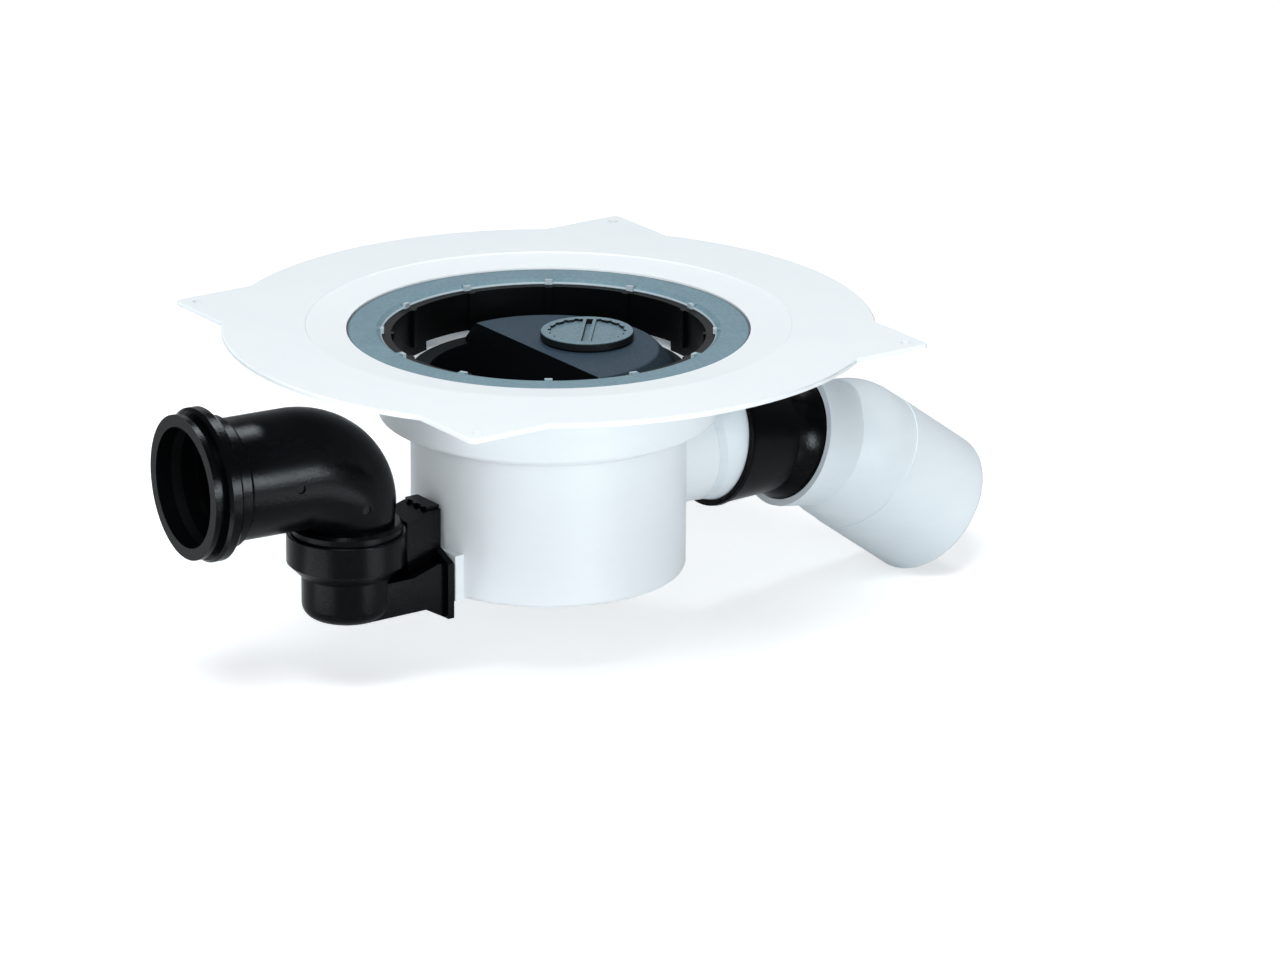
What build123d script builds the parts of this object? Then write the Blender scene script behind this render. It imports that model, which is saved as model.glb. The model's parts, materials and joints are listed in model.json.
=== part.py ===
from build123d import *
import os
from math import cos, radians, sin, sqrt

# Floor drain body with a side inlet elbow and an adjustable outlet, in millimetres.
# The origin is on the drain's upright axis, in the plane of the flange's top.
# +Z is up, +X is the way the outlet leaves the drum, and the inlet is on the -X side.

os.makedirs("parts", exist_ok=True)

# Running and seating clearances
ball_clearance = 0.3
slip_clearance = 0.3
press_clearance = 0.15
wall = 2.5

# Flange with four fixing ears
flange_radius = 110.0
flange_thickness = 1.5
dish_width = 13.5
crease_step = 0.4
dish_depth = 1.7
ear_count = 4
ear_reach = 19.4
ear_root_half_width = 22.4
ear_tip_rounding = 2.6
ear_hole_radius = 1.75
ear_hole_inset = 8.4
flange_rounding = 0.5

# Neck and drum
neck_radius = 57.5
neck_depth = 31.0
neck_root_drop = 2.4
shoulder_depth = 35.2
shoulder_gap = 1.3
neck_step = 10.8
shoulder_rounding = 1.2
drum_depth = 85.9
drum_bottom_rounding = 2.0
ledge_depth = 20.5
ledge_width = 5.0
ledge_step_height = 1.0

# Flat ring and liner in the mouth
ring_overhang = 1.1
ring_width = 11.6
ring_thickness = 1.7
ring_depth = 2.25
ring_lip_width = 1.9
ring_lip_drop = 1.4
tooth_count = 12
tooth_width = 2.6
tooth_reach = 0.8
ring_turn = -4.2
sleeve_wall = 1.7
sleeve_rim_reach = 2.6
sleeve_rim_thickness = 1.0
sleeve_depth = 17.3
sleeve_rib_width = 2.4
sleeve_rib_height = 1.0
sleeve_tab_count = 3
sleeve_tab_width = 15.0

# Trap insert and its cleaning cap
trap_rim_gap = 3.2
trap_rim_thickness = 1.6
trap_seal_thickness = 0.8
trap_cup_gap = 1.7
trap_cup_wall = 1.8
trap_cup_depth = 64.0
weir_offset = 14.0
weir_depth = 28.0
cover_wall = 2.0
cover_top_depth = 9.0
cover_inset = 3.4
cover_slope = 6.4
cover_edge_rounding = 1.5
cover_chord_offset = -5.0
dip_depth = 53.0
cap_offset = 15.7
cap_radius = 15.8
cap_thickness = 2.5
cap_rounding = 0.6
cap_seal_thickness = 0.8
cap_dish_radius = 12.6
cap_dish_depth = 0.9
cap_web_width = 4.4
cap_web_turn = 51.0
cap_slot_width = 2.2
cap_slot_depth = 1.8
cap_notch_count = 20
cap_notch_radius = 0.8
cap_plug_radius = 12.2
cap_plug_wall = 1.6
cap_plug_length = 5.5

# Outlet stub on the drum, with a ball pressed into its end
stub_radius = 20.0
stub_depth = 53.2
stub_length = 10.3
outlet_ball_standoff = 11.2
outlet_ball_radius = 21.8
outlet_ball_land_radius = 20.3
outlet_ball_reach = 16.5
outlet_ball_bore = 12.4
outlet_ball_plug_length = 8.0

# Coupling: a bell over the outlet ball at one end, a ball at the other
coupling_length = 34.5
coupling_tilt = -11.0
coupling_lip_back = 1.0
coupling_lip_width = 2.2
coupling_lip_radius = 24.0
coupling_bell_radius = 23.5
coupling_waist_radius = 19.0
coupling_lip_rounding = 0.4
coupling_ball_radius = 22.0
coupling_ball_reach = 16.6
coupling_bore = 16.2
coupling_ball_bore = 12.6
joint_seal_section = 0.9
joint_seal_angle = 56.0

# Outlet spigot: a cup over the coupling's ball, a bend and a pipe end
cup_tilt = -18.2
cup_rim_back = 2.8
cup_retainer_thickness = 1.4
cup_rim_radius = 24.4
cup_end_radius = 21.7
cup_length = 16.1
cup_bore = 16.5
spigot_tilt = -36.0
bend_distance = 21.4
spigot_neck_radius = 19.6
knuckle_start = -11.0
knuckle_offset = 5.0
knuckle_radius = 25.7
barrel_start = 12.1
spigot_bore_start = 2.0
spigot_bore_end = 15.0
spigot_radius = 26.0
spigot_length = 49.4
spigot_end_rounding = 2.0

# Inlet on the drum and the adapter that is held against it
inlet_half_width = 14.8
inlet_height = 16.0
inlet_proud = 0.9
window_half_width = 11.0
window_height = 6.0
window_sill = 0.4
gasket_thickness = 1.0
gasket_border = 2.2
plate_thickness = 2.4
plate_half_width = 15.6
plate_peak = 4.0
plate_height = 13.9
plate_drop = 5.4
gusset_reach = 7.5
tongue_half_width = 6.5
tongue_thickness = 5.0
tongue_rise = 1.2
tongue_ridge_width = 1.4
tongue_ridge_height = 0.8
tongue_ridge_spacing = 4.5
adapter_reach = 32.4
adapter_cup_radius = 15.3
adapter_drop = 2.2
adapter_bottom_rounding = 5.0
duct_drop = 1.2
collar_radius = 20.2
collar_height = 14.8
collar_chamfer = 4.4
collar_rounding = 0.6
duct_half_width = 13.5
duct_height = 10.9
spine_half_width = 7.5
spine_rise = 3.2

# Inlet elbow that swivels in the adapter's collar
elbow_turn = -5.0
elbow_rise = 52.2
elbow_bend_radius = 21.0
elbow_leg_radius = 20.5
bend_fullness = 1.5
elbow_foot_radius = 15.8
elbow_foot_reach = 8.8
elbow_bead_radius = 17.2
elbow_bead_height = 2.0
elbow_wall = 2.4
mark_radius = 1.6
mark_depth = 0.7
leg_mark_at = 27.0
bend_mark_turn = 65.0
retainer_height = 3.2
retainer_radius = 18.9
retainer_chamfer = 1.1
elbow_seal_section = 0.85
elbow_seal_drop = 7.0
socket_start = 44.0
socket_radius = 22.0
socket_bead_start = 50.0
socket_bead_end = 55.1
socket_bead_radius = 25.7
socket_bead_chamfer = 1.0
socket_lip_gap = 2.4
socket_lip_chamfer = 0.6
socket_lip_radius = 24.2
socket_end = 60.0
socket_bore = 20.2
socket_floor = 45.7
socket_seal_radius = 23.2
socket_seal_start = 50.8
socket_seal_end = 54.4

# Places that follow from the sizes above
ear_apex_radius = flange_radius + ear_reach
ear_hole_circle_radius = ear_apex_radius - ear_hole_inset
neck_bore = neck_radius - wall
drum_radius = neck_radius - neck_step
drum_bore = drum_radius - wall
ledge_step_radius = neck_bore - ledge_width
ring_inner_radius = neck_bore + ring_overhang
sleeve_rim_radius = neck_bore + sleeve_rim_reach
ring_outer_radius = ring_inner_radius + ring_width
seat_depth = ring_depth + ring_thickness
seat_radius = ring_outer_radius + slip_clearance
crease_radius = seat_radius + dish_width
trap_rim_radius = ledge_step_radius - trap_rim_gap
trap_cup_radius = drum_bore - trap_cup_gap
cover_base_radius = trap_rim_radius - cover_inset
cover_top_radius = cover_base_radius - cover_slope
trap_seat_depth = ledge_depth - ledge_step_height
trap_rim_bottom = trap_seat_depth - trap_seal_thickness
trap_rim_top = trap_rim_bottom - trap_rim_thickness
cap_bottom_depth = cover_top_depth - cap_seal_thickness
cap_hole_radius = cap_plug_radius + slip_clearance
stub_end = drum_radius + stub_length
stub_bore = stub_radius - wall
outlet_ball_center = stub_end + outlet_ball_standoff
window_bottom_depth = drum_depth - wall - window_sill
inlet_face = drum_radius + inlet_proud
gasket_face = inlet_face + gasket_thickness
plate_back = gasket_face + plate_thickness
plate_bottom_depth = drum_depth + plate_drop
plate_shoulder_depth = drum_depth - plate_height
plate_top_depth = plate_shoulder_depth - plate_peak
adapter_offset = gasket_face + adapter_reach
adapter_bottom_depth = drum_depth + adapter_drop
duct_top_depth = drum_depth - duct_height
duct_bottom_depth = drum_depth + duct_drop
elbow_depth = drum_depth - elbow_rise
collar_top_depth = elbow_depth + elbow_bend_radius + slip_clearance + retainer_height
collar_bottom_depth = collar_top_depth + collar_height
elbow_seal_depth = collar_top_depth + elbow_seal_drop
elbow_foot_end = collar_top_depth + elbow_foot_reach
spine_top_depth = collar_top_depth - spine_rise
tongue_top_depth = spine_top_depth - tongue_rise


def tilted_plane(origin, tilt):
    """A drawing plane in the upright outlet plane, with its x along a tilted axis."""
    direction = (cos(radians(tilt)), 0, sin(radians(tilt)))
    return Plane(origin=origin, x_dir=direction, z_dir=(0, -1, 0))


def plane_axis(plane):
    """The line that a profile drawn on the plane is turned around."""
    return Axis(plane.origin, plane.x_dir)


def socket_radius_at(bore, distance):
    """Radius of a spherical socket, a distance along its axis from the centre."""
    return sqrt(bore**2 - distance**2)


def ring_seat(ball_radius):
    """Centre of a seal ring that bears on a ball, as (distance along the axis, radius)."""
    reach = ball_radius + press_clearance + joint_seal_section
    return reach * cos(radians(joint_seal_angle)), reach * sin(radians(joint_seal_angle))


ball_center = (outlet_ball_center, 0, -stub_depth)
stub_plane = tilted_plane(ball_center, 0)
coupling_plane = tilted_plane(ball_center, coupling_tilt)
cup_center = coupling_plane.from_local_coords((coupling_length, 0))
cup_plane = tilted_plane(cup_center, cup_tilt)
bend_center = cup_plane.from_local_coords((bend_distance, 0))
spigot_plane = tilted_plane(bend_center, spigot_tilt)

elbow_direction = (-cos(radians(elbow_turn)), -sin(radians(elbow_turn)), 0)
elbow_side = (elbow_direction[1], -elbow_direction[0], 0)
elbow_plane = Plane((-adapter_offset, 0, -elbow_depth), x_dir=elbow_direction, z_dir=elbow_side)
inlet_plane = Plane((-adapter_offset, 0, 0))


# Drain body: flange, neck, drum, outlet stub and inlet face in one moulding
with BuildPart() as drain_body:
    with BuildSketch(Plane.XZ):
        with BuildLine():
            Polyline(
                (0, -seat_depth),
                (seat_radius, -seat_depth),
                (seat_radius, -dish_depth),
                (crease_radius, -crease_step),
                (crease_radius + crease_step, 0),
                (flange_radius, 0),
                (flange_radius, -flange_thickness),
                (crease_radius + wall, -flange_thickness),
                (seat_radius + wall, -seat_depth - neck_root_drop),
                (neck_radius, -seat_depth - neck_root_drop),
                (neck_radius, -neck_depth),
                (drum_radius + shoulder_gap, -shoulder_depth),
                (drum_radius + shoulder_gap, -shoulder_depth + wall),
                (neck_bore, -neck_depth + wall / 2),
                (neck_bore, -ledge_depth - wall),
                (drum_radius, -ledge_depth - wall),
                (drum_radius, -drum_depth),
                (0, -drum_depth),
                close=True,
            )
        make_face()
    revolve(axis=Axis.Z)
    rims = drain_body.edges().filter_by(GeomType.CIRCLE)
    fillet(rims.sort_by(Axis.Z)[0], drum_bottom_rounding)
    neck_rims = drain_body.edges().filter_by(GeomType.CIRCLE).filter_by_position(
        Axis.Z, -neck_depth, -neck_depth
    )
    fillet(neck_rims, shoulder_rounding)
    with BuildSketch(Plane.XY) as ears:
        with PolarLocations(0, ear_count, start_angle=45):
            Polygon(
                (ear_apex_radius, 0),
                (ear_apex_radius - ear_root_half_width, ear_root_half_width),
                (ear_apex_radius - ear_root_half_width, -ear_root_half_width),
                align=None,
            )
        ear_tips = ears.vertices().sort_by_distance((0, 0, 0))[-ear_count:]
        fillet(ear_tips, ear_tip_rounding)
    extrude(amount=-flange_thickness)
    flange_top = drain_body.faces().filter_by(Plane.XY).sort_by(Axis.Z)[-1]
    fillet(flange_top.outer_wire().edges(), flange_rounding)
    with BuildSketch(Plane.YZ):
        with Locations((0, -stub_depth)):
            Circle(stub_radius)
    extrude(amount=stub_end)
    with BuildSketch(Plane.YZ):
        with Locations((0, -drum_depth)):
            Rectangle(2 * inlet_half_width, inlet_height, align=(Align.CENTER, Align.MIN))
    extrude(amount=-inlet_face)
    with BuildSketch(Plane.XZ):
        with BuildLine():
            Polyline(
                (0, -seat_depth),
                (sleeve_rim_radius + slip_clearance, -seat_depth),
                (sleeve_rim_radius + slip_clearance, -seat_depth - sleeve_rim_thickness),
                (neck_bore, -seat_depth - sleeve_rim_thickness),
                (neck_bore, -ledge_depth),
                (ledge_step_radius, -ledge_depth),
                (ledge_step_radius, -trap_seat_depth),
                (drum_bore, -trap_seat_depth),
                (drum_bore, -drum_depth + wall),
                (0, -drum_depth + wall),
                close=True,
            )
        make_face()
    revolve(axis=Axis.Z, mode=Mode.SUBTRACT)
    with BuildSketch(Plane.YZ):
        with Locations((0, -stub_depth)):
            Circle(stub_bore)
    extrude(amount=stub_end, mode=Mode.SUBTRACT)
    with BuildSketch(Plane.YZ):
        with Locations((0, -window_bottom_depth)):
            Rectangle(2 * window_half_width, window_height, align=(Align.CENTER, Align.MIN))
    extrude(amount=-inlet_face, mode=Mode.SUBTRACT)
    with PolarLocations(ear_hole_circle_radius, ear_count, start_angle=45):
        Hole(ear_hole_radius)
drain_body.part.label = "drain_body"
export_step(drain_body.part, "parts/drain_body.step")

# Sealing ring in the flange's recess, with teeth over the slope of its inner edge
with BuildPart() as sealing_ring:
    with BuildSketch(Plane.XZ):
        with BuildLine():
            Polyline(
                (ring_inner_radius, -seat_depth),
                (ring_outer_radius, -seat_depth),
                (ring_outer_radius, -ring_depth),
                (ring_inner_radius + ring_lip_width, -ring_depth),
                (ring_inner_radius, -ring_depth - ring_lip_drop),
                close=True,
            )
        make_face()
    revolve(axis=Axis.Z)
    with BuildSketch(Plane.XY.offset(-seat_depth)):
        with PolarLocations(ring_inner_radius - tooth_reach, tooth_count, start_angle=ring_turn):
            Rectangle(2 * ring_lip_width + tooth_reach, tooth_width, align=(Align.MIN, Align.CENTER))
    extrude(amount=ring_thickness)
sealing_ring.part.label = "sealing_ring"
export_step(sealing_ring.part, "parts/sealing_ring.step")

# Liner in the neck: a thin rim under the ring, ribs under the teeth, and tabs that stand on the ledge
sleeve_radius = neck_bore - slip_clearance
sleeve_bore = sleeve_radius - sleeve_wall
with BuildPart() as sleeve:
    with BuildSketch(Plane.XY.offset(-sleeve_depth)):
        Circle(sleeve_radius)
        Circle(sleeve_bore, mode=Mode.SUBTRACT)
        with PolarLocations(sleeve_bore, tooth_count, start_angle=ring_turn):
            Rectangle(2 * sleeve_rib_height, sleeve_rib_width)
    extrude(amount=sleeve_depth - seat_depth)
    with BuildSketch(Plane.XY.offset(-seat_depth)):
        Circle(sleeve_rim_radius)
        Circle(sleeve_bore, mode=Mode.SUBTRACT)
    extrude(amount=-sleeve_rim_thickness)
    with BuildSketch(Plane.XY.offset(-ledge_depth)):
        with PolarLocations(sleeve_bore, sleeve_tab_count, start_angle=ring_turn):
            Rectangle(2 * sleeve_tab_width, sleeve_tab_width)
        Circle(sleeve_radius, mode=Mode.INTERSECT)
        Circle(sleeve_bore, mode=Mode.SUBTRACT)
    extrude(amount=ledge_depth - sleeve_depth)
sleeve.part.label = "sleeve"
export_step(sleeve.part, "parts/sleeve.step")

# Flat seal under the trap's rim
with BuildPart() as trap_seal:
    with BuildSketch(Plane.XY.offset(-trap_seat_depth)):
        Circle(trap_rim_radius)
        Circle(drum_bore + slip_clearance, mode=Mode.SUBTRACT)
    extrude(amount=trap_seal_thickness)
trap_seal.part.label = "trap_seal"
export_step(trap_seal.part, "parts/trap_seal.step")

# Trap cup: a rim on the ledge and a water cup with a straight weir towards the outlet
trap_cup_bore = trap_cup_radius - trap_cup_wall
weir_face = weir_offset - trap_cup_wall
with BuildPart() as trap_cup:
    with BuildSketch(Plane.XY.offset(-trap_rim_bottom)):
        Circle(trap_rim_radius)
        Circle(trap_cup_bore, mode=Mode.SUBTRACT)
    extrude(amount=trap_rim_thickness)
    with BuildSketch(Plane.XY.offset(-trap_cup_depth)):
        Circle(trap_cup_radius)
        with Locations((weir_offset, 0)):
            Rectangle(
                trap_cup_radius, 2 * trap_cup_radius, align=(Align.MIN, Align.CENTER), mode=Mode.SUBTRACT
            )
    extrude(amount=trap_cup_depth - trap_rim_bottom)
    with BuildSketch(Plane.XY.offset(-trap_cup_depth + trap_cup_wall)):
        Circle(trap_cup_bore)
        with Locations((weir_face, 0)):
            Rectangle(
                trap_cup_radius, 2 * trap_cup_radius, align=(Align.MIN, Align.CENTER), mode=Mode.SUBTRACT
            )
    extrude(amount=trap_cup_depth, mode=Mode.SUBTRACT)
    with BuildSketch(Plane.XY.offset(-weir_depth)):
        with Locations((weir_face, 0)):
            Rectangle(trap_cup_radius, 2 * trap_cup_bore, align=(Align.MIN, Align.CENTER))
        Circle(trap_cup_bore, mode=Mode.INTERSECT)
    extrude(amount=weir_depth, mode=Mode.SUBTRACT)
trap_cup.part.label = "trap_cup"
export_step(trap_cup.part, "parts/trap_cup.step")

# Trap cover: a half dome over the outlet side, with a dip wall along its straight edge
cover_base_bore = cover_base_radius - cover_wall
cover_top_bore = cover_top_radius - cover_wall
dip_half_width = sqrt(trap_cup_bore**2 - cover_chord_offset**2) - slip_clearance
with BuildPart() as trap_cover:
    with BuildSketch(Plane.XZ):
        with BuildLine():
            Polyline(
                (0, -cover_top_depth),
                (cover_top_radius, -cover_top_depth),
                (cover_base_radius, -trap_rim_top + wall / 2),
                (cover_base_radius, -trap_rim_top),
                (0, -trap_rim_top),
                close=True,
            )
        make_face()
    revolve(axis=Axis.Z)
    top_edge = trap_cover.edges().filter_by(GeomType.CIRCLE).sort_by(Axis.Z)[-1]
    fillet(top_edge, cover_edge_rounding)
    with BuildSketch(Plane.XZ):
        with BuildLine():
            Polyline(
                (0, -cover_top_depth - cover_wall),
                (cover_top_bore, -cover_top_depth - cover_wall),
                (cover_base_bore, -trap_rim_top),
                (0, -trap_rim_top),
                close=True,
            )
        make_face()
    revolve(axis=Axis.Z, mode=Mode.SUBTRACT)
    split(bisect_by=Plane.YZ.offset(cover_chord_offset), keep=Keep.TOP)
    with BuildSketch(Plane.YZ.offset(cover_chord_offset)):
        with BuildLine():
            Polyline(
                (-dip_half_width, -dip_depth),
                (dip_half_width, -dip_depth),
                (dip_half_width, -trap_rim_top),
                (cover_top_bore, -cover_top_depth - cover_wall / 2),
                (-cover_top_bore, -cover_top_depth - cover_wall / 2),
                (-dip_half_width, -trap_rim_top),
                close=True,
            )
        make_face()
    extrude(amount=cover_wall)
    with BuildSketch(Plane.XY.offset(-cover_top_depth)):
        with Locations((cap_offset, 0)):
            Circle(cap_hole_radius)
    extrude(amount=-cover_wall, mode=Mode.SUBTRACT)
trap_cover.part.label = "trap_cover"
export_step(trap_cover.part, "parts/trap_cover.step")

# Flat seal under the cleaning cap
with BuildPart() as cap_seal:
    with BuildSketch(Plane.XY.offset(-cover_top_depth)):
        with Locations((cap_offset, 0)):
            Circle(cap_radius - cap_rounding)
            Circle(cap_hole_radius, mode=Mode.SUBTRACT)
    extrude(amount=cap_seal_thickness)
cap_seal.part.label = "cap_seal"
export_step(cap_seal.part, "parts/cap_seal.step")

# Cleaning cap: a dished plug with a slotted web across the dish and a notched edge
cap_plane = Plane((cap_offset, 0, -cap_bottom_depth))
with BuildPart() as cleaning_cap:
    with BuildSketch(cap_plane):
        Circle(cap_radius)
    extrude(amount=cap_thickness)
    fillet(cleaning_cap.edges().sort_by(Axis.Z)[-1], cap_rounding)
    with BuildSketch(cap_plane.offset(cap_thickness)):
        Circle(cap_dish_radius)
        with PolarLocations(cap_dish_radius, cap_notch_count):
            Circle(cap_notch_radius)
        with Locations(Rotation(0, 0, cap_web_turn)):
            Rectangle(2 * cap_radius, cap_web_width, mode=Mode.SUBTRACT)
    extrude(amount=-cap_dish_depth, mode=Mode.SUBTRACT)
    with BuildSketch(cap_plane.offset(cap_thickness)):
        with Locations(Rotation(0, 0, cap_web_turn)):
            Rectangle(2 * cap_dish_radius, cap_slot_width)
    extrude(amount=-cap_slot_depth, mode=Mode.SUBTRACT)
    with BuildSketch(cap_plane):
        Circle(cap_plug_radius)
        Circle(cap_plug_radius - cap_plug_wall, mode=Mode.SUBTRACT)
    extrude(amount=-cap_plug_length)
cleaning_cap.part.label = "cleaning_cap"
export_step(cleaning_cap.part, "parts/cleaning_cap.step")

# Outlet ball: a hollow ball with a plug that is pressed into the drum's stub
land_start = stub_end - outlet_ball_center
land_end = -sqrt(outlet_ball_radius**2 - outlet_ball_land_radius**2)
ball_end_radius = sqrt(outlet_ball_radius**2 - outlet_ball_reach**2)
with BuildPart() as outlet_ball:
    with BuildSketch(stub_plane):
        with BuildLine():
            Polyline(
                (outlet_ball_reach, ball_end_radius),
                (outlet_ball_reach, outlet_ball_bore),
                (land_start - outlet_ball_plug_length, outlet_ball_bore),
                (land_start - outlet_ball_plug_length, stub_bore - press_clearance),
                (land_start, stub_bore - press_clearance),
                (land_start, outlet_ball_land_radius),
                (land_end, outlet_ball_land_radius),
            )
            ThreePointArc(
                (land_end, outlet_ball_land_radius),
                (0, outlet_ball_radius),
                (outlet_ball_reach, ball_end_radius),
            )
        make_face()
    revolve(axis=plane_axis(stub_plane))
outlet_ball.part.label = "outlet_ball"
export_step(outlet_ball.part, "parts/outlet_ball.step")

# Ball coupling: a lipped bell that narrows to a waist and swells into a second ball
bell_bore = outlet_ball_radius + ball_clearance
bell_seal_at, bell_seal_radius = ring_seat(outlet_ball_radius)
bell_seat_radius = bell_seal_radius + joint_seal_section + press_clearance
bell_seat_start = sqrt(bell_bore**2 - bell_seat_radius**2)
bell_seat_end = bell_seal_at + joint_seal_section + press_clearance
bell_floor = sqrt(bell_bore**2 - coupling_bore**2)
bell_lip_bore = socket_radius_at(bell_bore, coupling_lip_back)
bell_middle_bore = socket_radius_at(bell_bore, bell_seat_start / 2)
bell_land_bore = socket_radius_at(bell_bore, bell_seat_end)
bell_land_middle = (bell_seat_end + bell_floor) / 2
waist_at = coupling_length - sqrt(coupling_ball_radius**2 - coupling_waist_radius**2)
coupling_end = coupling_length + coupling_ball_reach
coupling_end_radius = sqrt(coupling_ball_radius**2 - coupling_ball_reach**2)
with BuildPart() as ball_coupling:
    with BuildSketch(coupling_plane):
        with BuildLine():
            Polyline(
                (-coupling_lip_back, bell_lip_bore),
                (-coupling_lip_back, coupling_lip_radius),
                (coupling_lip_width - coupling_lip_back, coupling_lip_radius),
                (coupling_lip_width - coupling_lip_back, coupling_bell_radius),
                (waist_at, coupling_waist_radius),
            )
            ThreePointArc(
                (waist_at, coupling_waist_radius),
                (coupling_length, coupling_ball_radius),
                (coupling_end, coupling_end_radius),
            )
            Polyline(
                (coupling_end, coupling_end_radius),
                (coupling_end, coupling_ball_bore),
                (waist_at, coupling_bore),
                (bell_floor, coupling_bore),
            )
            ThreePointArc(
                (bell_floor, coupling_bore),
                (bell_land_middle, socket_radius_at(bell_bore, bell_land_middle)),
                (bell_seat_end, bell_land_bore),
            )
            Polyline(
                (bell_seat_end, bell_land_bore),
                (bell_seat_end, bell_seat_radius),
                (bell_seat_start, bell_seat_radius),
            )
            ThreePointArc(
                (bell_seat_start, bell_seat_radius),
                (bell_seat_start / 2, bell_middle_bore),
                (-coupling_lip_back, bell_lip_bore),
            )
        make_face()
    revolve(axis=plane_axis(coupling_plane))
    lip_edges = ball_coupling.edges().filter_by(GeomType.CIRCLE).sort_by(SortBy.RADIUS)[-2:]
    fillet(lip_edges, coupling_lip_rounding)
ball_coupling.part.label = "ball_coupling"
export_step(ball_coupling.part, "parts/ball_coupling.step")

# Seal ring in the bell, bearing on the outlet ball
with BuildPart() as coupling_seal:
    with BuildSketch(coupling_plane):
        with Locations((bell_seal_at, bell_seal_radius)):
            Circle(joint_seal_section)
    revolve(axis=plane_axis(coupling_plane))
coupling_seal.part.label = "coupling_seal"
export_step(coupling_seal.part, "parts/coupling_seal.step")

# Outlet spigot: the cup, its neck, a round knuckle and the pipe end in one moulding
cup_ball_bore = coupling_ball_radius + ball_clearance
cup_seal_at, cup_seal_radius = ring_seat(coupling_ball_radius)
cup_seat_radius = cup_seal_radius + joint_seal_section + press_clearance
cup_seat_start = sqrt(cup_ball_bore**2 - cup_seat_radius**2)
cup_seat_end = cup_seal_at + joint_seal_section + press_clearance
cup_face = cup_retainer_thickness - cup_rim_back
cup_floor = sqrt(cup_ball_bore**2 - cup_bore**2)
cup_face_bore = socket_radius_at(cup_ball_bore, cup_face)
cup_rim_bore = socket_radius_at(cup_ball_bore, cup_rim_back)
cup_middle_bore = socket_radius_at(cup_ball_bore, cup_seat_start / 2)
cup_land_bore = socket_radius_at(cup_ball_bore, cup_seat_end)
cup_land_middle = (cup_seat_end + cup_floor) / 2
knuckle_start_radius = socket_radius_at(knuckle_radius, knuckle_offset - knuckle_start)
with BuildPart() as outlet_spigot:
    with BuildSketch(cup_plane):
        with BuildLine():
            Polyline(
                (cup_face, 0),
                (cup_face, cup_rim_radius),
                (cup_length, cup_end_radius),
                (cup_length, spigot_neck_radius),
                (bend_distance, spigot_neck_radius),
                (bend_distance, 0),
                close=True,
            )
        make_face()
    revolve(axis=plane_axis(cup_plane))
    with BuildSketch(spigot_plane):
        with BuildLine():
            Line((knuckle_start, 0), (knuckle_start, knuckle_start_radius))
            RadiusArc((knuckle_start, knuckle_start_radius), (knuckle_offset, knuckle_radius), knuckle_radius)
            Polyline(
                (knuckle_offset, knuckle_radius),
                (barrel_start, knuckle_radius),
                (barrel_start, spigot_radius),
                (spigot_length - spigot_end_rounding, spigot_radius),
            )
            RadiusArc(
                (spigot_length - spigot_end_rounding, spigot_radius),
                (spigot_length, spigot_radius - spigot_end_rounding),
                spigot_end_rounding,
            )
            Polyline(
                (spigot_length, spigot_radius - spigot_end_rounding),
                (spigot_length, 0),
                (knuckle_start, 0),
            )
        make_face()
    revolve(axis=plane_axis(spigot_plane))
    with BuildSketch(cup_plane):
        with BuildLine():
            Polyline(
                (cup_face, 0),
                (cup_face, cup_face_bore),
            )
            ThreePointArc(
                (cup_face, cup_face_bore),
                (cup_seat_start / 2, cup_middle_bore),
                (cup_seat_start, cup_seat_radius),
            )
            Polyline(
                (cup_seat_start, cup_seat_radius),
                (cup_seat_end, cup_seat_radius),
                (cup_seat_end, cup_land_bore),
            )
            ThreePointArc(
                (cup_seat_end, cup_land_bore),
                (cup_land_middle, socket_radius_at(cup_ball_bore, cup_land_middle)),
                (cup_floor, cup_bore),
            )
            Polyline(
                (cup_floor, cup_bore),
                (bend_distance, cup_bore),
                (bend_distance, 0),
                (cup_face, 0),
            )
        make_face()
    revolve(axis=plane_axis(cup_plane), mode=Mode.SUBTRACT)
    with BuildSketch(spigot_plane):
        with BuildLine():
            Polyline(
                (0, 0),
                (0, cup_bore),
                (spigot_bore_start, cup_bore),
                (spigot_bore_end, spigot_radius - wall),
                (spigot_length, spigot_radius - wall),
                (spigot_length, 0),
                close=True,
            )
        make_face()
    revolve(axis=plane_axis(spigot_plane), mode=Mode.SUBTRACT)
    with Locations(bend_center):
        Sphere(cup_bore + press_clearance, mode=Mode.SUBTRACT)
outlet_spigot.part.label = "outlet_spigot"
export_step(outlet_spigot.part, "parts/outlet_spigot.step")

# Retaining ring that closes the cup's mouth behind the ball
with BuildPart() as cup_retainer:
    with BuildSketch(cup_plane):
        with BuildLine():
            Polyline(
                (cup_face, cup_face_bore),
                (cup_face, cup_rim_radius),
                (-cup_rim_back, cup_rim_radius),
                (-cup_rim_back, cup_rim_bore),
                close=True,
            )
        make_face()
    revolve(axis=plane_axis(cup_plane))
cup_retainer.part.label = "cup_retainer"
export_step(cup_retainer.part, "parts/cup_retainer.step")

# Seal ring in the cup, bearing on the coupling's ball
with BuildPart() as spigot_seal:
    with BuildSketch(cup_plane):
        with Locations((cup_seal_at, cup_seal_radius)):
            Circle(joint_seal_section)
    revolve(axis=plane_axis(cup_plane))
spigot_seal.part.label = "spigot_seal"
export_step(spigot_seal.part, "parts/spigot_seal.step")

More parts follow.
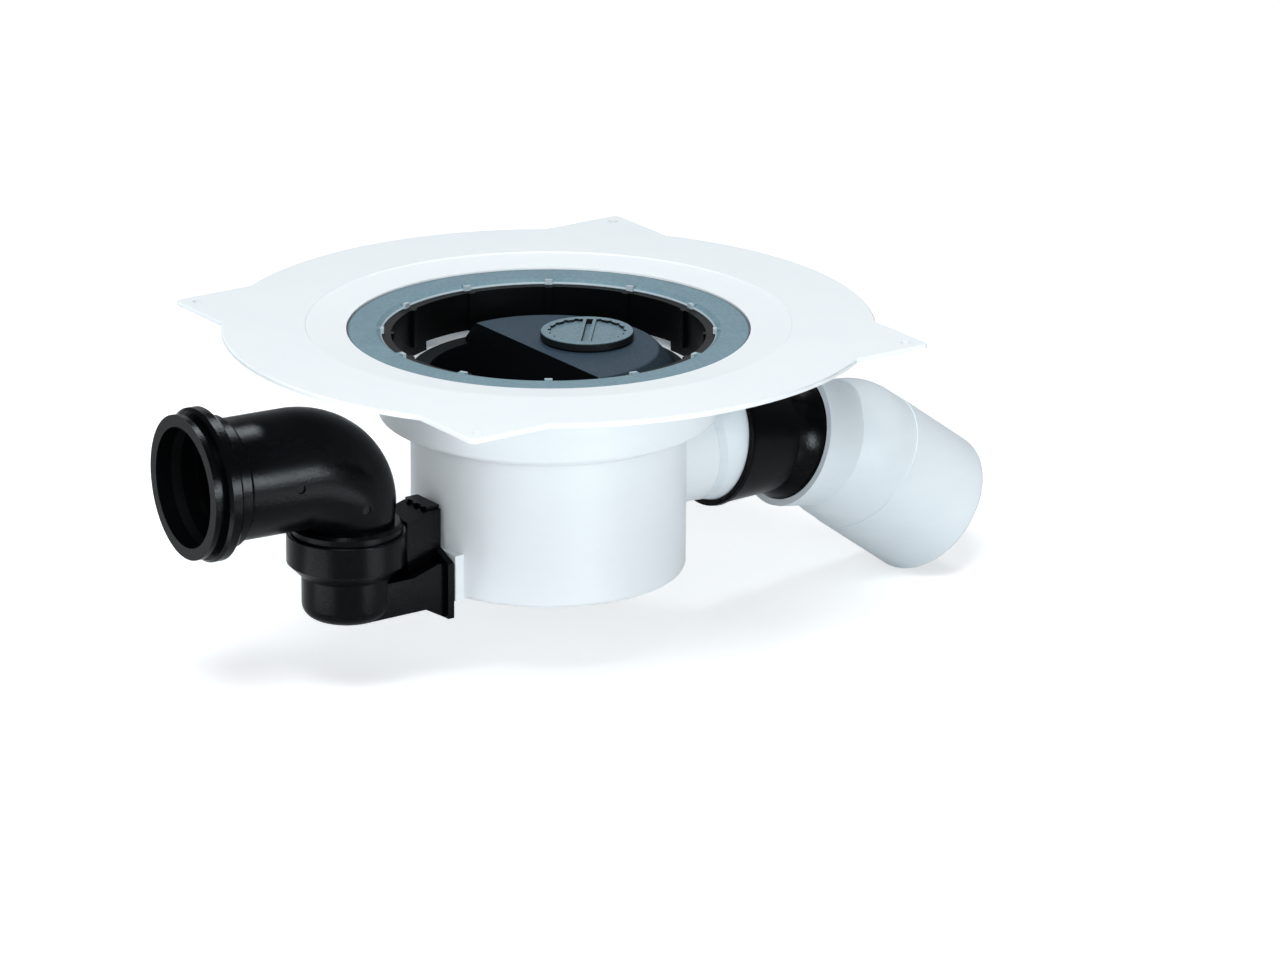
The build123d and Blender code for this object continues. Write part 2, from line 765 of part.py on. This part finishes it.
# Gasket between the drum's inlet face and the adapter's plate
with BuildPart() as inlet_gasket:
    with BuildSketch(Plane.YZ.offset(-gasket_face)):
        with Locations((0, -window_bottom_depth)):
            Rectangle(2 * window_half_width, window_height, align=(Align.CENTER, Align.MIN))
        offset(amount=gasket_border, kind=Kind.INTERSECTION)
        with Locations((0, -window_bottom_depth)):
            Rectangle(
                2 * window_half_width, window_height, align=(Align.CENTER, Align.MIN), mode=Mode.SUBTRACT
            )
    extrude(amount=gasket_thickness)
inlet_gasket.part.label = "inlet_gasket"
export_step(inlet_gasket.part, "parts/inlet_gasket.step")

# Inlet adapter: fixing plate with a latch tongue, flat duct, water cup and swivel collar
collar_bore = elbow_foot_radius + 2 * (elbow_seal_section + press_clearance)
cup_inner_radius = elbow_foot_radius - elbow_wall
spine_start = retainer_radius + slip_clearance - adapter_offset
with BuildPart() as inlet_adapter:
    with BuildSketch(inlet_plane.offset(-adapter_bottom_depth)):
        Circle(adapter_cup_radius)
    extrude(amount=adapter_bottom_depth - collar_bottom_depth)
    fillet(inlet_adapter.edges().sort_by(Axis.Z)[0], adapter_bottom_rounding)
    with BuildSketch(inlet_plane.offset(-collar_bottom_depth)):
        Circle(collar_radius)
    extrude(amount=collar_bottom_depth - collar_top_depth)
    collar_edges = inlet_adapter.edges().filter_by(GeomType.CIRCLE).sort_by(SortBy.RADIUS)[-2:]
    fillet(collar_edges.sort_by(Axis.Z)[-1], collar_rounding)
    chamfer(collar_edges.sort_by(Axis.Z)[0], collar_chamfer)
    with BuildSketch(Plane.XZ):
        with BuildLine():
            Polyline(
                (-adapter_offset, -duct_bottom_depth),
                (-plate_back - gusset_reach, -duct_bottom_depth),
                (-plate_back, -plate_bottom_depth),
                (-gasket_face, -plate_bottom_depth),
                (-gasket_face, -plate_shoulder_depth),
                (-plate_back - wall, -plate_shoulder_depth),
                (-adapter_offset + collar_radius - wall, -duct_top_depth),
                (-adapter_offset, -duct_top_depth),
                close=True,
            )
        make_face()
    extrude(amount=duct_half_width, both=True)
    with BuildSketch(Plane.YZ.offset(-plate_back)):
        with BuildLine():
            Polyline(
                (-plate_half_width, -plate_bottom_depth),
                (-plate_half_width, -plate_shoulder_depth),
                (-tongue_half_width, -plate_top_depth),
                (tongue_half_width, -plate_top_depth),
                (plate_half_width, -plate_shoulder_depth),
                (plate_half_width, -plate_bottom_depth),
                close=True,
            )
        make_face()
    extrude(amount=plate_thickness)
    with BuildSketch(Plane.YZ.offset(-gasket_face)):
        with Locations((0, -tongue_top_depth)):
            Rectangle(
                2 * tongue_half_width, plate_top_depth - tongue_top_depth, align=(Align.CENTER, Align.MAX)
            )
    extrude(amount=-tongue_thickness)
    with BuildSketch(Plane.XZ):
        with BuildLine():
            Polyline(
                (spine_start, -duct_top_depth),
                (spine_start, -spine_top_depth - wall),
                (-gasket_face - tongue_thickness, -spine_top_depth),
                (-gasket_face, -spine_top_depth),
                (-gasket_face, -duct_top_depth),
                close=True,
            )
        make_face()
    extrude(amount=spine_half_width, both=True)
    with BuildSketch(Plane.XY.offset(-tongue_top_depth)):
        for side in (-1, 0, 1):
            with Locations((-gasket_face - tongue_thickness, side * tongue_ridge_spacing)):
                Rectangle(2 * tongue_ridge_height, tongue_ridge_width)
    extrude(amount=tongue_top_depth - spine_top_depth)
    with BuildSketch(inlet_plane.offset(-collar_top_depth)):
        Circle(collar_bore)
    extrude(amount=collar_top_depth - elbow_foot_end - slip_clearance, mode=Mode.SUBTRACT)
    with BuildSketch(inlet_plane.offset(-window_bottom_depth)):
        Circle(cup_inner_radius)
    extrude(amount=window_bottom_depth - collar_top_depth, mode=Mode.SUBTRACT)
    with BuildSketch(Plane.YZ.offset(-gasket_face)):
        with Locations((0, -window_bottom_depth)):
            Rectangle(2 * window_half_width, window_height, align=(Align.CENTER, Align.MIN))
    extrude(amount=gasket_face - adapter_offset, mode=Mode.SUBTRACT)
inlet_adapter.part.label = "inlet_adapter"
export_step(inlet_adapter.part, "parts/inlet_adapter.step")

# Retaining ring on the collar that keeps the elbow's bead in
with BuildPart() as elbow_retainer:
    with BuildSketch(inlet_plane.offset(-collar_top_depth)):
        Circle(retainer_radius)
        Circle(elbow_foot_radius + slip_clearance, mode=Mode.SUBTRACT)
    extrude(amount=retainer_height)
    retainer_edges = elbow_retainer.edges().group_by(Axis.Z)[-1]
    chamfer(retainer_edges.sort_by(SortBy.RADIUS)[-1], retainer_chamfer)
elbow_retainer.part.label = "elbow_retainer"
export_step(elbow_retainer.part, "parts/elbow_retainer.step")

# Seal ring round the elbow's foot, inside the collar
with BuildPart() as elbow_seal:
    with BuildSketch(Plane((-adapter_offset, 0, -elbow_seal_depth), x_dir=(1, 0, 0), z_dir=(0, -1, 0))):
        with Locations((elbow_foot_radius + press_clearance + elbow_seal_section, 0)):
            Circle(elbow_seal_section)
    revolve(axis=Axis((-adapter_offset, 0, 0), (0, 0, 1)))
elbow_seal.part.label = "elbow_seal"
export_step(elbow_seal.part, "parts/elbow_seal.step")


# Elbow: a reducing bend from the swivel foot to a pipe socket with a seal bead
def bend_section_plane(turn):
    """Plane across the bend, a given turn of degrees on from the level leg."""
    along = elbow_bend_radius * (1 - sin(radians(turn)))
    drop = elbow_bend_radius * (cos(radians(turn)) - 1)
    origin = elbow_plane.from_local_coords((along, drop))
    tangent = elbow_plane.x_dir * -cos(radians(turn)) + Vector(0, 0, -sin(radians(turn)))
    return Plane(origin, x_dir=elbow_side, z_dir=tangent)


def bend_radius_at(turn):
    """Outer radius of the bend, which narrows from the leg to the foot."""
    narrowing = (1 - cos(radians(turn))) ** bend_fullness
    return elbow_leg_radius - (elbow_leg_radius - elbow_foot_radius) * narrowing


def side_mark(section, radius):
    """Floor of a round mould mark in the elbow's side, where a section is cut."""
    floor = section.origin - Vector(elbow_side) * (radius - mark_depth)
    return Plane(floor, x_dir=elbow_direction, z_dir=-Vector(elbow_side))


leg_mark = side_mark(Plane(elbow_plane.from_local_coords((leg_mark_at, 0))), elbow_leg_radius)
bend_mark = side_mark(bend_section_plane(bend_mark_turn), bend_radius_at(bend_mark_turn))
bend_turns = (0, 22.5, 45, 67.5, 90)
foot_plane = bend_section_plane(90)
foot_length = elbow_foot_end - elbow_depth - elbow_bend_radius
bead_top = collar_top_depth + slip_clearance
with BuildPart() as elbow:
    for turn in bend_turns:
        with BuildSketch(bend_section_plane(turn)):
            Circle(bend_radius_at(turn))
    loft()
    with BuildSketch(foot_plane):
        Circle(elbow_foot_radius)
    extrude(amount=foot_length)
    with BuildSketch(inlet_plane.offset(-bead_top)):
        Circle(elbow_bead_radius)
    extrude(amount=-elbow_bead_height)
    with BuildSketch(elbow_plane):
        with BuildLine():
            Polyline(
                (elbow_bend_radius, 0),
                (elbow_bend_radius, elbow_leg_radius),
                (socket_start, elbow_leg_radius),
                (socket_start + socket_radius - elbow_leg_radius, socket_radius),
                (socket_bead_start, socket_radius),
                (socket_bead_start, socket_bead_radius - socket_bead_chamfer),
                (socket_bead_start + socket_bead_chamfer, socket_bead_radius),
                (socket_bead_end - socket_bead_chamfer, socket_bead_radius),
                (socket_bead_end, socket_bead_radius - socket_bead_chamfer),
                (socket_bead_end, socket_radius),
                (socket_bead_end + socket_lip_gap, socket_radius),
                (socket_bead_end + socket_lip_gap + socket_lip_chamfer, socket_lip_radius),
                (socket_end, socket_lip_radius),
                (socket_end, 0),
                close=True,
            )
        make_face()
    revolve(axis=plane_axis(elbow_plane))
    for turn in bend_turns:
        with BuildSketch(bend_section_plane(turn)):
            Circle(bend_radius_at(turn) - elbow_wall)
    loft(mode=Mode.SUBTRACT)
    with BuildSketch(foot_plane):
        Circle(elbow_foot_radius - elbow_wall)
    extrude(amount=foot_length, mode=Mode.SUBTRACT)
    with BuildSketch(elbow_plane):
        with BuildLine():
            Polyline(
                (elbow_bend_radius, 0),
                (elbow_bend_radius, elbow_leg_radius - elbow_wall),
                (socket_floor, elbow_leg_radius - elbow_wall),
                (socket_floor, socket_bore),
                (socket_seal_start, socket_bore),
                (socket_seal_start, socket_seal_radius),
                (socket_seal_end, socket_seal_radius),
                (socket_seal_end, socket_bore),
                (socket_end, socket_bore),
                (socket_end, 0),
                close=True,
            )
        make_face()
    revolve(axis=plane_axis(elbow_plane), mode=Mode.SUBTRACT)
    for mark in (leg_mark, bend_mark):
        with BuildSketch(mark):
            Circle(mark_radius)
        extrude(amount=2 * mark_depth, mode=Mode.SUBTRACT)
elbow.part.label = "elbow"
export_step(elbow.part, "parts/elbow.step")

# Pipe seal in the socket's bead
with BuildPart() as socket_seal:
    with BuildSketch(elbow_plane):
        with BuildLine():
            Polyline(
                (socket_seal_start, socket_bore),
                (socket_seal_start, socket_seal_radius - press_clearance),
                (socket_seal_end, socket_seal_radius - press_clearance),
                (socket_seal_end, socket_bore),
                close=True,
            )
        make_face()
    revolve(axis=plane_axis(elbow_plane))
socket_seal.part.label = "socket_seal"
export_step(socket_seal.part, "parts/socket_seal.step")
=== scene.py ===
import json
from math import cos, radians, sin

import bpy
from mathutils import Matrix, Vector


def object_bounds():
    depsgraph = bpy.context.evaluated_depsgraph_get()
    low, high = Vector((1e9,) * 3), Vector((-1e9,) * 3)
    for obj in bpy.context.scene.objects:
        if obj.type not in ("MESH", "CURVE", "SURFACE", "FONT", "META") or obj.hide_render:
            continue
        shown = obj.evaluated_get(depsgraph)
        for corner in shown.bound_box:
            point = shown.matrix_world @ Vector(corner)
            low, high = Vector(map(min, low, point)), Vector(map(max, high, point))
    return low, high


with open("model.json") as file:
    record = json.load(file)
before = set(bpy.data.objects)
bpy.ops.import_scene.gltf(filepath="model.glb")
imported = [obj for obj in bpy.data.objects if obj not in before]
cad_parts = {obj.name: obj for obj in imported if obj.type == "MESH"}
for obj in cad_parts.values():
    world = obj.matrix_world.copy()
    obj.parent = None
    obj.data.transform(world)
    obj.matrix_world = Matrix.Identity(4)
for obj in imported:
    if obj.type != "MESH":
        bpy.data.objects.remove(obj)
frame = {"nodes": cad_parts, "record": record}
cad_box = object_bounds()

MM = 0.001


class Socket:
    """A shader socket that can be used in Python sums, each of which adds a Math node."""

    def __init__(self, finish, socket):
        self.finish = finish
        self.socket = socket

    def math(self, operation, *values):
        return self.finish.node("ShaderNodeMath", {"operation": operation}, dict(enumerate(values)))

    def __add__(self, other):
        return self.math("ADD", self, other)

    def __radd__(self, other):
        return self.math("ADD", other, self)

    def __sub__(self, other):
        return self.math("SUBTRACT", self, other)

    def __rsub__(self, other):
        return self.math("SUBTRACT", other, self)

    def __mul__(self, other):
        return self.math("MULTIPLY", self, other)

    def __rmul__(self, other):
        return self.math("MULTIPLY", other, self)

    def or_more(self, other):
        """The larger of two values."""
        return self.math("MAXIMUM", self, other)

    def above(self, low, high):
        """0 below low, 1 above high, and a straight climb between them."""
        return self.finish.node("ShaderNodeMapRange", {}, {0: self, 1: low, 2: high, 3: 0.0, 4: 1.0})


class Finish:
    """One procedural material and the nodes that make it."""

    def __init__(self, name):
        self.material = bpy.data.materials.new(name)
        self.material.use_nodes = True
        self.tree = self.material.node_tree
        self.tree.nodes.clear()

    def node(self, kind, settings, inputs, out=0):
        made = self.tree.nodes.new(kind)
        for key, value in settings.items():
            setattr(made, key, value)
        for key, value in inputs.items():
            if isinstance(value, Socket):
                self.tree.links.new(value.socket, made.inputs[key])
            else:
                made.inputs[key].default_value = value
        if made.outputs:
            return Socket(self, made.outputs[out])

    def place(self, stretch=(1, 1, 1)):
        """Object coordinates, stretched along the axes."""
        spot = self.node("ShaderNodeTexCoord", {}, {}, "Object")
        return self.node("ShaderNodeMapping", {}, {"Vector": spot, "Scale": stretch})

    def height(self, vector):
        """The upright part of a place or a direction."""
        return self.node("ShaderNodeSeparateXYZ", {}, {0: vector}, "Z")

    def noise(self, place, size, detail=2.0, rough=0.5):
        """Cloudy noise whose lumps are about size metres across."""
        return self.node(
            "ShaderNodeTexNoise",
            {},
            {"Vector": place, "Scale": 1 / size, "Detail": detail, "Roughness": rough},
        )

    def blend(self, amount, first, second):
        """A colour between two colours."""
        return self.node(
            "ShaderNodeMix",
            {"data_type": "RGBA", "clamp_factor": True},
            {0: amount, 6: first, 7: second},
            2,
        )

    def bump(self, height, strength, depth):
        return self.node("ShaderNodeBump", {}, {"Height": height, "Strength": strength, "Distance": depth})

    def skin(self, tone, rough, normal, specular):
        """The surface that light meets."""
        return self.surface(
            self.node(
                "ShaderNodeBsdfPrincipled",
                {},
                {"Base Color": tone, "Roughness": rough, "Normal": normal, "Specular IOR Level": specular},
            )
        )

    def surface(self, shader):
        self.node("ShaderNodeOutputMaterial", {}, {"Surface": shader})
        return self.material


def tint(red, green, blue):
    return (red, green, blue, 1.0)


# Painted light: upward faces above the trap's rim take a paler top tone, which fades in over a few
# millimetres
lit_top_level = -15.5 * MM
lit_top_fade = 3 * MM

# The ring's pale lip ends at one radius, and a painted shadow along its outer edge begins at another
ring_lip_radius = 56.5 * MM
ring_shadow_radius = 67.2 * MM
ring_blur = 0.2 * MM
gap_shadow_tone = tint(0.012, 0.018, 0.022)

# Radii that no seal reaches, for seals of one tone
no_lip = 0.0
no_shadow = 1.0


def moulded_plastic(name, colour, shade, gloss, grain_size, grain_strength, specular, lit_top_tone=None):
    """Moulded plastic: faintly cloudy, with flow streaks, a mould grain and perhaps a painted paler tone on
    upward faces.
    """
    finish = Finish(name)
    place = finish.place()
    cloud = finish.noise(place, 45 * MM, 3.0)
    flow = finish.noise(finish.place((1.0, 1.0, 4.0)), 18 * MM, 4.0, 0.6)
    grain = finish.noise(place, grain_size, 3.0, 0.6)
    scuff = finish.noise(finish.place((9.0, 1.0, 2.0)), 6 * MM, 3.0, 0.7).above(0.62, 0.72)
    tone = finish.blend(cloud.above(0.3, 0.7) * 0.6 + flow.above(0.35, 0.75) * 0.4, colour, shade)
    # Painted light and shade: upward faces above a level turn to the paler top tone, mottled by the grain,
    # and other faces keep the dark tone
    if lit_top_tone:
        upward = finish.height(finish.node("ShaderNodeTexCoord", {}, {}, "Normal")).above(0.45, 0.85)
        raised = finish.height(place).above(lit_top_level, lit_top_level + lit_top_fade)
        cover = 0.55 + grain.above(0.3, 0.7) * 0.45
        tone = finish.blend(upward * raised * cover, tone, lit_top_tone)
    rough = gloss + (flow - 0.5) * 0.12 + (cloud - 0.5) * 0.08 + scuff * 0.06
    normal = finish.bump(grain, grain_strength, 0.12 * MM)
    return finish.skin(tone, rough, normal, specular)


def sealing_rubber(name, colour, shade, gloss, specular, lip_colour, lip_radius, shadow_radius):
    """Soft rubber: dull, blotchy and pitted, pale on a lip inside one radius and with a painted shadow past
    another.
    """
    finish = Finish(name)
    place = finish.place()
    bloom = finish.noise(place, 14 * MM, 4.0, 0.6)
    pits = finish.noise(place, 0.55 * MM, 2.0, 0.6)
    speckle = finish.noise(place, 1.3 * MM, 3.0, 0.6).above(0.38, 0.66)
    radius = finish.node(
        "ShaderNodeVectorMath", {"operation": "LENGTH"}, {0: finish.place((1, 1, 0))}, "Value"
    )
    lip = 1.0 - radius.above(lip_radius - ring_blur, lip_radius + ring_blur)
    gap_shadow = radius.above(shadow_radius - ring_blur, shadow_radius + ring_blur)
    tone = finish.blend(bloom.above(0.3, 0.72) * 0.5 + speckle * 0.5, colour, shade)
    # Painted shadow: the outer edge darkens where the ring meets the flange
    tone = finish.blend(gap_shadow * 0.75, tone, gap_shadow_tone)
    tone = finish.blend(lip, tone, lip_colour)
    rough = gloss + (bloom - 0.5) * 0.2
    normal = finish.bump(pits, 0.25, 0.1 * MM)
    return finish.skin(tone, rough, normal, specular)


finishes = {
    "white_body": moulded_plastic(
        "white_body",
        colour=tint(0.85, 0.895, 0.92),
        shade=tint(0.82, 0.87, 0.90),
        gloss=0.45,
        grain_size=0.5 * MM,
        grain_strength=0.10,
        specular=0.3,
    ),
    "white_outlet": moulded_plastic(
        "white_outlet",
        colour=tint(0.80, 0.86, 0.90),
        shade=tint(0.75, 0.815, 0.86),
        gloss=0.48,
        grain_size=0.6 * MM,
        grain_strength=0.22,
        specular=0.3,
    ),
    "black_fitting": moulded_plastic(
        "black_fitting",
        colour=tint(0.0012, 0.0015, 0.0018),
        shade=tint(0.002, 0.0024, 0.003),
        gloss=0.2,
        grain_size=0.85 * MM,
        grain_strength=0.6,
        specular=0.06,
    ),
    "black_liner": moulded_plastic(
        "black_liner",
        colour=tint(0.0012, 0.0014, 0.0017),
        shade=tint(0.002, 0.0023, 0.0028),
        gloss=0.4,
        grain_size=0.8 * MM,
        grain_strength=0.35,
        specular=0.06,
    ),
    # Painted shade: the trap and the cap are kept nearly black for the shade on their sides, and their paler
    # top tone is painted light
    "trap_grey": moulded_plastic(
        "trap_grey",
        colour=tint(0.002, 0.003, 0.004),
        shade=tint(0.003, 0.0045, 0.006),
        gloss=0.6,
        grain_size=0.7 * MM,
        grain_strength=0.6,
        specular=0.1,
        lit_top_tone=tint(0.038, 0.070, 0.102),
    ),
    "cap_grey": moulded_plastic(
        "cap_grey",
        colour=tint(0.004, 0.006, 0.008),
        shade=tint(0.006, 0.009, 0.011),
        gloss=0.45,
        grain_size=0.7 * MM,
        grain_strength=0.2,
        specular=0.2,
        lit_top_tone=tint(0.17, 0.275, 0.33),
    ),
    "grey_ring": sealing_rubber(
        "grey_ring",
        colour=tint(0.115, 0.205, 0.255),
        shade=tint(0.185, 0.295, 0.35),
        gloss=0.65,
        specular=0.35,
        lip_colour=tint(0.42, 0.51, 0.56),
        lip_radius=ring_lip_radius,
        shadow_radius=ring_shadow_radius,
    ),
    "black_seal": sealing_rubber(
        "black_seal",
        colour=tint(0.0015, 0.0018, 0.002),
        shade=tint(0.003, 0.0035, 0.004),
        gloss=0.6,
        specular=0.08,
        lip_colour=tint(0.006, 0.007, 0.008),
        lip_radius=no_lip,
        shadow_radius=no_shadow,
    ),
}
for row in frame["record"]["subparts"]:
    node = frame["nodes"][row["node"]]
    node.data.materials.clear()
    node.data.materials.append(finishes[row["material_slot"]])

# Floor just under the lowest point
floor_gap = 1.0 * MM
floor_width = 60.0
floor_glow = 0.5
mirrored_share = 0.25
bpy.ops.object.select_all(action="DESELECT")
bpy.ops.mesh.primitive_plane_add(size=floor_width, location=(0, 0, cad_box[0][2] - floor_gap))
floor = bpy.context.object
floor.name = "floor"
paper = Finish("floor_paper")
fibre = paper.noise(paper.place(), 0.4, 2.0)
matt = paper.node(
    "ShaderNodeBsdfDiffuse", {}, {"Color": paper.blend(fibre, tint(0.86, 0.87, 0.88), tint(0.88, 0.89, 0.9))}
)
glow = paper.node("ShaderNodeEmission", {}, {"Color": tint(1, 1, 1), "Strength": floor_glow})
lit = paper.node("ShaderNodeAddShader", {}, {0: matt, 1: glow})
# Mirrored paper is just white, so it takes less of the glow
seen = paper.node("ShaderNodeLightPath", {}, {}, "Is Camera Ray")
seen = seen.or_more(paper.node("ShaderNodeLightPath", {}, {}, "Is Glossy Ray") * mirrored_share)
seen = seen.or_more(paper.node("ShaderNodeLightPath", {}, {}, "Is Transmission Ray"))
floor.data.materials.append(paper.surface(paper.node("ShaderNodeMixShader", {}, {0: seen, 1: matt, 2: lit})))

# Camera at the photograph's angle
view_right = Vector((0.827, -0.562, 0)).normalized()
view_ahead = Vector((0.562, 0.827, 0)).normalized()
view_tilt = radians(17.32)
view_roll = radians(0.31)
view_distance = 2.2273
aim_right = 30.78 * MM
aim_down = 52.55 * MM
forward = view_ahead * cos(view_tilt) - Vector((0, 0, sin(view_tilt)))
view_up = view_right.cross(forward)
camera_data = bpy.data.cameras.new("camera")
camera_data.lens = 186.4
camera_data.sensor_width = 36.0
camera_data.clip_end = 50.0
camera = bpy.data.objects.new("camera", camera_data)
bpy.context.scene.collection.objects.link(camera)
aim = view_right * aim_right - view_up * aim_down
camera.location = -forward * view_distance
camera.rotation_mode = "QUATERNION"
facing = (aim - camera.location).to_track_quat("-Z", "Y").to_matrix()
camera.rotation_quaternion = (facing @ Matrix.Rotation(view_roll, 3, "Z")).to_quaternion()
bpy.context.scene.camera = camera

# Soft studio light
world = bpy.data.worlds.new("studio")
world.use_nodes = True
sky = world.node_tree.nodes["Background"]
sky.inputs["Color"].default_value = tint(0.94, 0.97, 1.0)
sky.inputs["Strength"].default_value = 0.25
bpy.context.scene.world = world


def area_light(name, spot, facing, width, height, power, colour):
    """A rectangular lamp at a spot, facing along a direction."""
    data = bpy.data.lights.new(name, "AREA")
    data.shape = "RECTANGLE"
    data.size = width
    data.size_y = height
    data.energy = power
    data.color = colour
    lamp = bpy.data.objects.new(name, data)
    lamp.location = spot
    lamp.rotation_mode = "QUATERNION"
    lamp.rotation_quaternion = facing.to_track_quat("-Z", "Y")
    bpy.context.scene.collection.objects.link(lamp)
    return lamp


def soft_light(name, turn, climb, distance, width, height, power, colour):
    """A soft box, turned from the camera's side of the object and raised by an angle."""
    level_way = Matrix.Rotation(radians(turn), 3, "Z") @ -view_ahead
    way = level_way * cos(radians(climb)) + Vector((0, 0, sin(radians(climb))))
    return area_light(name, way * distance, -way, width, height, power, colour)


def floor_card(name, across, along, width, length, power, colour):
    """A pale card that lies on the floor."""
    spot = Vector((across, along, cad_box[0][2] - floor_gap / 2))
    return area_light(name, spot, Vector((0, 0, 1)), width, length, power, colour)


plain = (1.0, 1.0, 1.0)
cool = (0.86, 0.96, 1.0)
# Name, turn and climb in degrees, distance, width and height in metres, power in watts, colour
soft_light("key", -10, 55, 1.8, 0.9, 0.7, 24.5, plain)
soft_light("front_fill", 0, 12, 2.2, 2.2, 1.0, 11, plain)
soft_light("right_box", 46, 0, 0.8, 0.1, 0.22, 0.75, cool)
soft_light("left_box", -60, 0, 0.8, 0.12, 0.22, 0.9, cool)
soft_light("top_box", 161, 61, 1.3, 0.18, 0.15, 2.4, cool)
soft_light("back_panel", 180, 20, 2.0, 1.8, 0.7, 3, plain)
# Pale cards that show only in gloss; the two on the floor are given by place, width and length in metres
cards = [
    floor_card("left_card", -0.235, 0.0, 0.10, 0.13, 0.2, cool),
    floor_card("right_card", -0.02, -0.24, 0.09, 0.26, 0.34, cool),
    soft_light("leg_card", 161, 61, 1.3, 0.5, 0.4, 10.0, cool),
    soft_light("coupling_card", 42, 5, 0.8, 0.12, 0.24, 5.0, cool),
]
for card in cards:
    card.visible_camera = False
    card.visible_diffuse = False
    card.visible_transmission = False

bpy.context.scene.view_settings.view_transform = "Standard"
